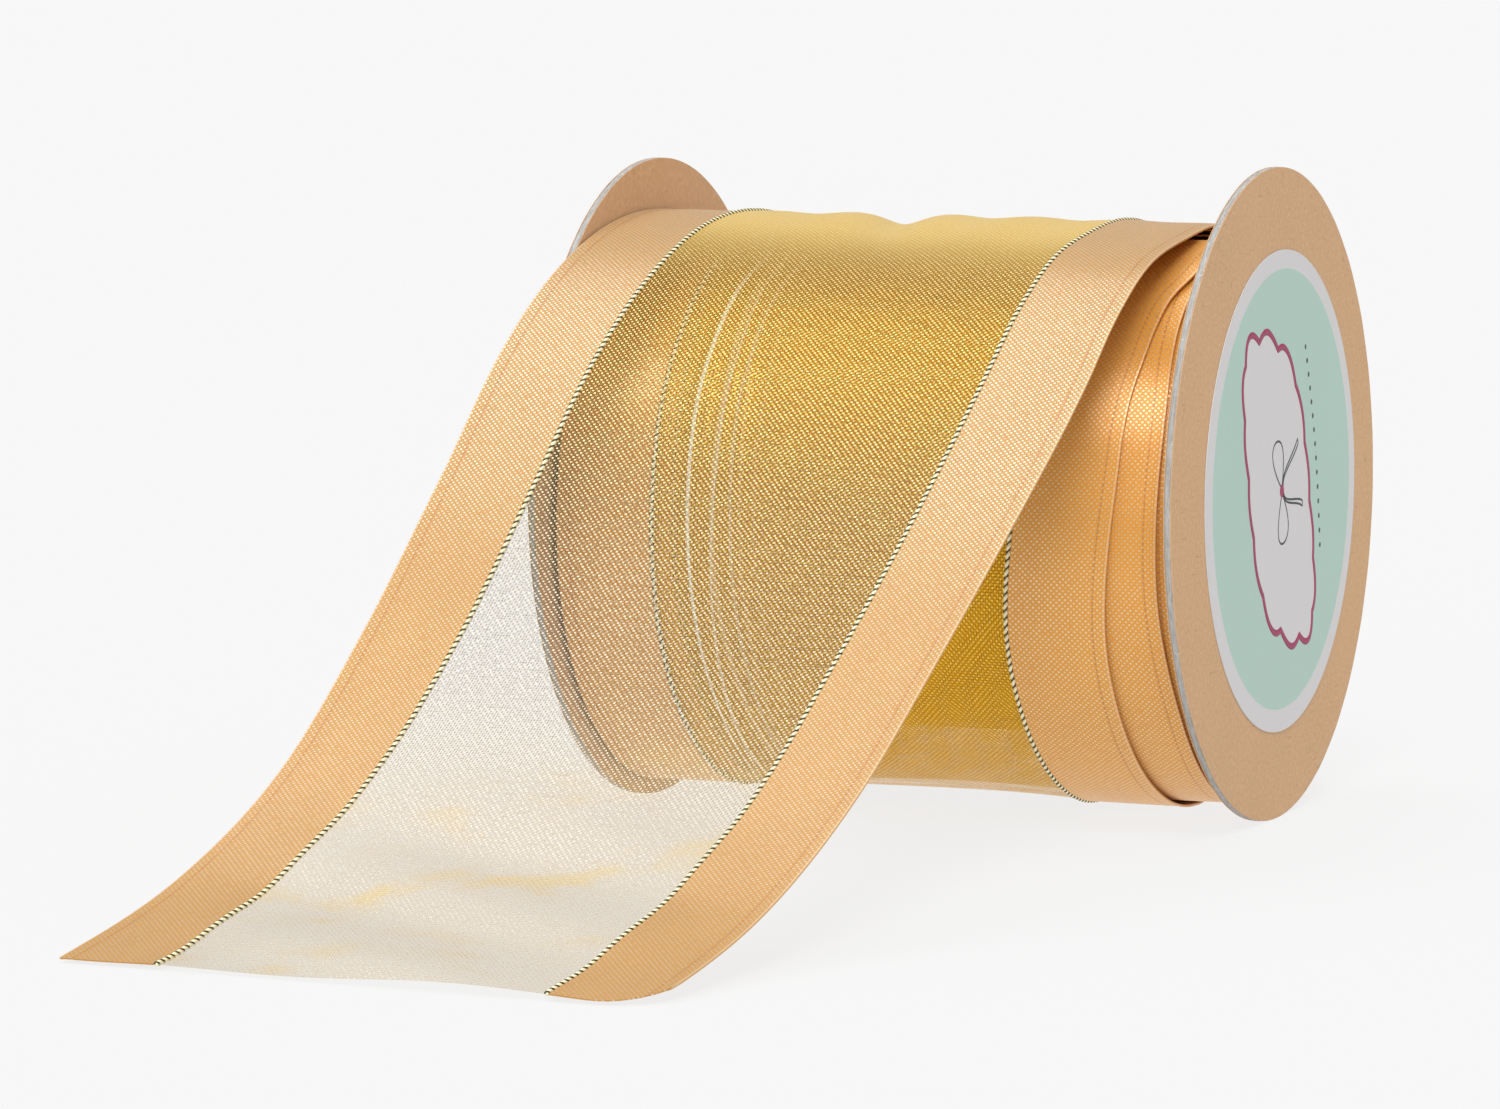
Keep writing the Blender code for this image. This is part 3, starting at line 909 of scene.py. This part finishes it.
def satin_border(name, ribbon, share, side, satin, corner=0.0):
    """One satin border; a corner rounds off its outer edge at the end of the ribbon."""
    stations = satin_stations()
    inward = np.clip(corner - stations, 0.0, None)
    cut = corner - np.sqrt(corner * corner - inward * inward)
    columns = [
        ribbon.points(share * (1 - lost / ribbon.length), **{f"from_{side}": [station]})
        for station, lost in zip(stations, cut)
    ]
    points = np.concatenate([column[0] for column in columns], 1)
    normals = np.concatenate([column[1] for column in columns], 1)
    length = np.stack([column[3] for column in columns], 1) + CLOTH_TOP
    uv = np.stack(np.broadcast_arrays(stations[None, :], length), -1)
    if side == "right":
        points, normals, uv = points[:, ::-1], normals[:, ::-1], uv[:, ::-1]
    half = np.broadcast_to(selvedge_half(uv[..., 0]), uv.shape[:2])
    return slab(name, points, normals, half, uv, satin)


def build_stretch(prefix, ribbon, steps, nodes, cloths, cord_detail=CORD_DETAIL, corner=0.0):
    """The five woven parts of one stretch; returns them by part name."""
    satin, organza = cloths
    share = np.linspace(0, 1, steps + 1)
    made = {}
    for side in ("left", "right"):
        name = f"{prefix}_satin_{side}"
        reach = corner if side == "right" else 0.0
        made[f"satin_{side}"] = satin_border(name, ribbon, share, side, satin, reach)
    points, _, _, length = ribbon.points(share, ORGANZA_START, ORGANZA_START)
    even = np.linspace(0, RIBBON_WIDTH - 2 * ORGANZA_START, ORGANZA_STEPS + 1)
    uv = np.stack(np.broadcast_arrays(even[None, :], length[:, None] + CLOTH_TOP), -1)
    made["organza"] = sheet_mesh(f"{prefix}_organza", points, uv, organza)
    per_pitch, sides = cord_detail
    count = int(ribbon.length / CORD_TWIST_PITCH * per_pitch)
    fine = np.linspace(0, 1, count)
    for side in ("left", "right"):
        inset = {f"from_{side}": np.array([CORD_CENTRE])}
        points, normals, _, length = ribbon.points(fine, **inset)
        name = f"{prefix}_gold_cord_{side}"
        made[f"gold_cord_{side}"] = twisted_cord(name, points[:, 0], normals[:, 0], length, sides)
    for part, obj in made.items():
        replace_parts(obj, f"{nodes}_{part}")
    return made


def build_free_end():
    left, right = free_end_edges()
    ribbon = Ribbon(left, right, 0.0, free_end_folds)
    top = spline_through(left[: len(left) - len(LEFT_EDGE) + 1])[1]
    ribbon.start_length = -top
    cloths = (SATIN, ORGANZA)
    made = build_stretch("ribbon_end", ribbon, FREE_END_STEPS, "free_end", cloths, corner=CORNER_RADIUS)
    for obj in made.values():
        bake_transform(obj)
    return -top


def build_wraps(start_length):
    """Two loose wraps, and the one border that shows of the turn beneath them.

    Each wrap has its turn inwards, its path, how far before the free end it starts, and the
    points along it.
    """
    cloths = (BOUNCE_LIT_WRAP_SATIN, WRAP_ORGANZA)
    half_turn = np.linspace(348.0, 180.0, 22)
    whole_turn = np.linspace(348.0, 0.0, 44)
    for turn, name, table, degrees, before, steps, detail in (
        (0, "outer_wrap", OUTER_WRAP_EDGES, half_turn, 128.0, 90, CORD_DETAIL),
        (1, "inner_wrap", INNER_WRAP_EDGES, whole_turn, 400.0, 150, INNER_CORD_DETAIL),
    ):
        left, right = wrap_points(turn, table, degrees)
        ribbon = Ribbon(left, right, start_length - before, wrap_folds)
        made = build_stretch(f"{name}_look", ribbon, steps, name, cloths, detail)
        for obj in made.values():
            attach(obj, "loose_ribbon")
    left, right = wrap_points(2, NEXT_TURN_EDGES, whole_turn)
    beneath = Ribbon(left, right, start_length - NEXT_TURN_BEFORE, wrap_folds)
    share = np.linspace(0, 1, NEXT_TURN_STEPS + 1)
    border = satin_border("next_turn_satin_right", beneath, share, "right", BOUNCE_LIT_WRAP_SATIN)
    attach(border, "loose_ribbon")


# ---------------------------------------------------------------- roll, core and flanges


def build_roll():
    """The tight roll: borders whose layers show as ridges at their ends, and the organza."""
    rng = np.random.default_rng(7)
    layers = 30
    radii = np.linspace(ROLL_RADIUS, ROLL_INNER_RADIUS, layers * 3 + 1)
    for side, sign in (("left", -1), ("right", 1)):
        shift = np.repeat(rng.uniform(-0.35, 0.1, layers), 3)
        crest = np.tile([0.0, 0.18, 0.0], layers)
        ends = [(ROLL_HALF_WIDTH + s + c, r) for s, c, r in zip(shift, crest, radii)]
        inside = ROLL_HALF_WIDTH - ROLL_SATIN_WIDTH
        outline = [(inside, ROLL_INNER_RADIUS), (inside, ROLL_RADIUS)]
        outline += [(inside + d, ROLL_RADIUS) for d in (4.0, 8.0, 12.0, 15.0)]
        outline += ends + [(ROLL_HALF_WIDTH - 1.0, ROLL_INNER_RADIUS)]
        outline = [(sign * x, r) for x, r in outline]

        def wander(angle, x, radius, sign=sign):
            near_end = ease(ROLL_HALF_WIDTH - 2.0, ROLL_HALF_WIDTH - 0.4, np.abs(x))
            drift = np.sin(angle * 2 + radius * 1.7) * 0.12 + np.sin(angle * 5 + radius) * 0.05
            return sign * near_end * drift, 0.0 * x

        obj = lathe(f"roll_satin_{side}", outline, 144, SATIN_STACK, wander)
        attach(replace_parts(obj, f"wound_satin_{side}"), "spool")
    inside = ROLL_HALF_WIDTH - ROLL_SATIN_WIDTH - 0.3
    steps = np.linspace(-inside, inside, 41)
    sag = 0.95 * np.cos(steps / inside * math.pi / 2) ** 0.7
    outline = [(x, ROLL_RADIUS - 0.1 - s) for x, s in zip(steps, sag)]
    outline += [(inside, ROLL_INNER_RADIUS), (-inside, ROLL_INNER_RADIUS)]
    obj = lathe("roll_organza", outline, 144, ORGANZA_STACK)
    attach(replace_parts(obj, "wound_organza"), "spool")


def build_core():
    half = INNER_FACE - 0.1
    inner, outer, bevel = CORE_INNER_RADIUS, CORE_OUTER_RADIUS, 0.15
    outline = [(-half, inner + bevel), (-half, outer - bevel), (-half + bevel, outer)]
    outline += [(half - bevel, outer), (half, outer - bevel), (half, inner + bevel)]
    outline += [(half - bevel, inner), (-half + bevel, inner)]
    obj = lathe("core_tube_look", outline, 128, CORE)
    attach(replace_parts(obj, "core_tube"), "spool")
    for node, material in (
        ("left_core_glue", GLUE),
        ("right_core_glue", GLUE),
        ("start_tape", TAPE),
        ("wound_gold_cord_left", GOLD),
        ("wound_gold_cord_right", GOLD),
    ):
        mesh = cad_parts[node].data
        mesh.materials.clear()
        mesh.materials.append(material)


def build_flange(side, sign):
    """A flange: the grey board with a fibrous cut rim, and a thin liner on each face."""

    def rough_rim(angle, x, radius):
        rim = ease(FLANGE_RADIUS - 0.6, FLANGE_RADIUS - 0.1, radius)
        fibre = np.sin(angle * 211 + x * 9) * 0.012 + np.sin(angle * 97 + x * 5) * 0.015
        return 0.0 * x, rim * fibre

    def liner_wave(angle, x, radius):
        lift = ease(FLANGE_RADIUS - 1.5, FLANGE_RADIUS, radius) * 0.012
        return sign * lift * np.sin(angle * 31), 0.0 * x

    outer = OUTER_FACE
    inner = OUTER_FACE - FLANGE_THICKNESS
    rim = FLANGE_RADIUS
    hole = SPINDLE_HOLE_RADIUS
    low = inner + 0.15
    high = outer - 0.15
    outline = [(low, hole), (low, rim - 0.12), (low + 0.12, rim - 0.02), (low + 0.3, rim)]
    outline += [(high - 0.3, rim), (high - 0.12, rim - 0.02), (high, rim - 0.12), (high, hole)]
    outline = [(sign * x, r) for x, r in outline]
    obj = lathe(f"{side}_flange_board_look", outline, 360, CHIPBOARD, rough_rim)
    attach(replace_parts(obj, f"{side}_flange_board"), "spool")
    for face, low, high in (
        ("outer", outer - LINER_THICKNESS, outer),
        ("inner", inner, inner + LINER_THICKNESS),
    ):
        edge = rim - 0.02
        outline = [(low, hole), (low, edge - 0.03), (low + 0.03, edge), (high - 0.05, edge)]
        outline += [(high, edge - 0.05), (high, rim - 1.2), (high, hole + 0.6)]
        outline += [(high, hole + 0.05), (high - 0.05, hole)]
        outline = [(sign * x, r) for x, r in outline]
        obj = lathe(f"{side}_flange_{face}_liner_look", outline, 256, KRAFT, liner_wave)
        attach(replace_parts(obj, f"{side}_flange_{face}_liner"), "spool")


# ---------------------------------------------------------------- label


def print_shape(name, outline, thickness, level, material):
    """A thin printed shape on the label, from (y, z) points about the label's centre."""
    curve = bpy.data.curves.new(name, "CURVE")
    curve.dimensions = "2D"
    curve.fill_mode = "BOTH"
    curve.extrude = thickness / 2 * MM
    spline = curve.splines.new("POLY")
    spline.points.add(len(outline) - 1)
    spline.use_cyclic_u = True
    for target, (y, z) in zip(spline.points, outline):
        target.co = (y * MM, z * MM, 0.0, 1.0)
    maker = bpy.data.objects.new(f"{name}_outline", curve)
    mesh = bpy.data.meshes.new_from_object(maker)
    bpy.data.objects.remove(maker)
    obj = link(name, mesh, material)
    centre = place((OUTER_FACE + level + thickness / 2, LABEL_OFFSET_Y, LABEL_OFFSET_Z))
    turn = Matrix(((0, 0, 1), (1, 0, 0), (0, 1, 0))).to_4x4()
    mesh.transform(Matrix.Translation(Vector(centre)) @ turn)
    mesh.validate()
    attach(obj, "spool")
    return obj


def circle(radius, count=160, centre=(0.0, 0.0)):
    angle = np.arange(count) * math.tau / count
    y, z = centre
    return [(y + radius * math.cos(a), z + radius * math.sin(a)) for a in angle]


def plaque_outline():
    """An upright plaque whose edge is a row of scallops, taller ones round its two ends."""
    angle = np.linspace(0, math.tau, 1201)
    power = 2 / PLAQUE_SQUARENESS
    y = PLAQUE_HALF_WIDTH * np.sign(np.sin(angle)) * np.abs(np.sin(angle)) ** power
    z = PLAQUE_HALF_HEIGHT * np.sign(np.cos(angle)) * np.abs(np.cos(angle)) ** power
    steps = np.hypot(np.diff(y), np.diff(z))
    run = np.concatenate([[0.0], np.cumsum(steps)])
    even = np.linspace(0, run[-1], 421)
    y = np.interp(even, run, y)
    z = np.interp(even, run, z)
    along_y = np.gradient(y)
    along_z = np.gradient(z)
    size = np.hypot(along_y, along_z)
    scallop = np.abs(np.sin(math.pi * (PLAQUE_SCALLOPS * even / run[-1] + 0.5)))
    rise = scallop * (0.8 + 1.3 * np.abs(z / PLAQUE_HALF_HEIGHT) ** 8)
    y = y - along_z / size * rise
    z = z + along_y / size * rise
    return list(zip(y[:-1] + PLAQUE_OFFSET_Y, z[:-1]))


def turned(points, degrees):
    cosine = math.cos(math.radians(degrees))
    sine = math.sin(math.radians(degrees))
    return [(y * cosine - z * sine, y * sine + z * cosine) for y, z in points]


def slanted(points):
    """The plaque's own slant: its long side leans one way and its short side the other."""
    lean = math.radians(PLAQUE_LEAN)
    slant = math.radians(PLAQUE_SLANT)
    return [
        (y * math.cos(slant) - z * math.sin(lean), z * math.cos(lean) - y * math.sin(slant))
        for y, z in points
    ]


def printed_line(name, outline, half_width, level, material):
    """A closed printed line of even width along an outline of (y, z) points on the label."""
    line = np.array(outline, float)
    along = np.roll(line, -1, axis=0) - np.roll(line, 1, axis=0)
    along /= np.linalg.norm(along, axis=1)[:, None]
    aside = np.stack([along[:, 1], -along[:, 0]], 1) * half_width
    low = OUTER_FACE + level
    rings = []
    high = low + PRINT_THICKNESS
    for x, shift in ((low, 1), (high, 1), (high, -1), (low, -1)):
        flat = line + aside * shift
        deep = np.full(len(line), x)
        y = flat[:, 0] + LABEL_OFFSET_Y
        z = flat[:, 1] + LABEL_OFFSET_Z
        rings.append(np.stack([deep, y, z], 1))
    points = np.stack(rings, 1)
    mesh = mesh_of(name, points.reshape(-1, 3), ring_faces(len(line), 4))
    face_out(mesh)
    obj = link(name, mesh, material)
    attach(obj, "spool")
    return obj


def bow_lines():
    """A plain little bow in thin lines: two loops, two trailing ends and a knot, about (0, 0)."""
    lines = []
    for sign in (-1, 1):
        angle = np.arange(48) * math.tau / 48
        reach = 7.4 * (0.5 + 0.5 * np.cos(angle))
        rise = 3.0 * np.sin(angle) * (0.35 + reach / 9)
        lines.append(np.stack([sign * (0.7 + reach), rise + reach * 0.12], 1))
        t = np.linspace(0, 1, 24)
        down = np.stack([sign * (0.5 + 4.6 * t), -0.8 - 7.2 * t + 1.4 * np.sin(t * 5.0)], 1)
        thick = (0.25 + 0.75 * t)[:, None] * np.array([[0.8, 0.25 * sign]])
        lines.append(np.vstack([down + thick * 0.5, (down - thick * 0.5)[::-1]]))
    return lines


def build_label():
    disc_outline = circle(LABEL_RADIUS)
    disc = print_shape("label_disc", disc_outline, PAPER_THICKNESS, PAPER_GAP, LABEL_WHITE)
    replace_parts(disc, "label_sticker")
    thickness = PRINT_THICKNESS
    paper = PAPER_GAP + PAPER_THICKNESS
    on_mint = paper + thickness
    on_plaque = paper + thickness + thickness
    mint = circle(MINT_RADIUS, 160, (0.35, 0.25))
    print_shape("label_mint_print", mint, thickness, paper, LABEL_MINT)
    outline = slanted(plaque_outline())
    print_shape("label_plaque_print", outline, thickness, on_mint, LABEL_WHITE)
    printed_line("label_border_print", outline, 0.52, on_plaque, LABEL_MAGENTA)
    for i, line in enumerate(bow_lines()):
        shape = turned(line, PLAQUE_LEAN + 90)
        printed_line(f"label_bow_{i + 1}_print", shape, 0.17, on_plaque, LABEL_INK)
    knot = turned(circle(1.0, 32), PLAQUE_LEAN)
    print_shape("label_bow_knot_print", knot, thickness, on_plaque + thickness, LABEL_MAGENTA)
    # A row of small dots runs down the far side of the plaque.
    for i in range(DOTS):
        aside = 16.4 + 1.2 * math.sin(i / (DOTS - 1) * math.pi)
        spot = turned([(aside, 18.0 - i * DOT_SPACING)], PLAQUE_LEAN)[0]
        dot = circle(0.42, 14, spot)
        print_shape(f"label_dot_{i + 1}_print", dot, thickness, on_mint, LABEL_INK)


# ---------------------------------------------------------------- stage


def build_floor():
    shader = Shader("floor")
    shader.finish(
        Base_Color=(FLOOR_GREY, FLOOR_GREY, FLOOR_GREY),
        Roughness=0.9,
        Specular_IOR_Level=0.0,
        Emission_Color=(1.0, 1.0, 1.0),
        Emission_Strength=FLOOR_GLOW,
    )
    mesh = bpy.data.meshes.new("floor")
    signs = ((-1, -1), (1, -1), (1, 1), (-1, 1))
    corners = [(x * FLOOR_HALF, y * FLOOR_HALF, 0.0) for x, y in signs]
    mesh.from_pydata(corners, [], [(0, 1, 2, 3)])
    link("floor", mesh, shader.material)


def add_softbox(name, towards, strength, spread):
    light = bpy.data.lights.new(name, "SUN")
    light.energy = strength
    light.angle = math.radians(spread)
    obj = bpy.data.objects.new(name, light)
    bpy.context.scene.collection.objects.link(obj)
    obj.rotation_euler = Vector(towards).to_track_quat("Z", "Y").to_euler()


def build_light():
    world = bpy.data.worlds.new("studio")
    bpy.context.scene.world = world
    world.use_nodes = True
    background = world.node_tree.nodes["Background"]
    background.inputs["Color"].default_value = (1.0, 1.0, 1.0, 1.0)
    background.inputs["Strength"].default_value = WORLD_LIGHT
    for softbox in SOFTBOXES:
        add_softbox(*softbox)
    bpy.context.scene.view_settings.view_transform = "Standard"


def build_camera():
    azimuth, elevation, roll = (math.radians(degrees) for degrees in CAMERA_ANGLES)
    level = math.cos(elevation)
    back = Vector((math.sin(azimuth) * level, -math.cos(azimuth) * level, math.sin(elevation)))
    right = Vector((math.cos(azimuth), math.sin(azimuth), 0.0))
    up = back.cross(right)
    tilted_right = right * math.cos(roll) + up * math.sin(roll)
    tilted_up = up * math.cos(roll) - right * math.sin(roll)
    aim = AXLE + Vector(CAMERA_AIM)
    camera = bpy.data.cameras.new("camera")
    camera.sensor_width = 36.0
    camera.lens = CAMERA_LENS
    camera.clip_end = 50.0
    obj = bpy.data.objects.new("camera", camera)
    bpy.context.scene.collection.objects.link(obj)
    turn = Matrix((tilted_right, tilted_up, back)).transposed()
    obj.matrix_world = Matrix.Translation(aim + back * CAMERA_DISTANCE) @ turn.to_4x4()
    bpy.context.scene.camera = obj


build_camera()
build_light()
build_floor()
for flange_side, flange_sign in (("left", -1), ("right", 1)):
    build_flange(flange_side, flange_sign)
build_core()
build_roll()
build_label()
turn_start = build_free_end()
build_wraps(turn_start)
